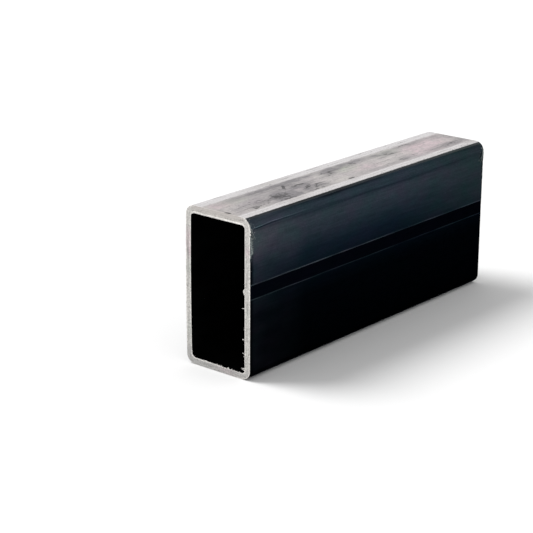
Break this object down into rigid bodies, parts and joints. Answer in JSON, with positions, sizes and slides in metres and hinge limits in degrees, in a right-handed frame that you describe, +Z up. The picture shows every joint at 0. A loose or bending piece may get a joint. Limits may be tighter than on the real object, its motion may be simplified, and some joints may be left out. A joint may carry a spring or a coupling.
{
  "type": "rectangular metal tube",
  "caption": "Length of rectangular steel tube, cold rolled and seam welded, sawn square at both ends, standing on its narrow side.",
  "frame": {"origin": "middle of the underside, where the tube stands on the floor", "axes": "Y along the length, X across the width with the weld seam on the +X side, +Z up along the section's height"},
  "size_m": [0.06, 0.29, 0.12],
  "materials": {
    "bare_steel": "dark mill finish as rolled, bright where sawn"
  },
  "bodies": {
    "root": {"tube": "bare_steel"}
  },
  "joints": []
}
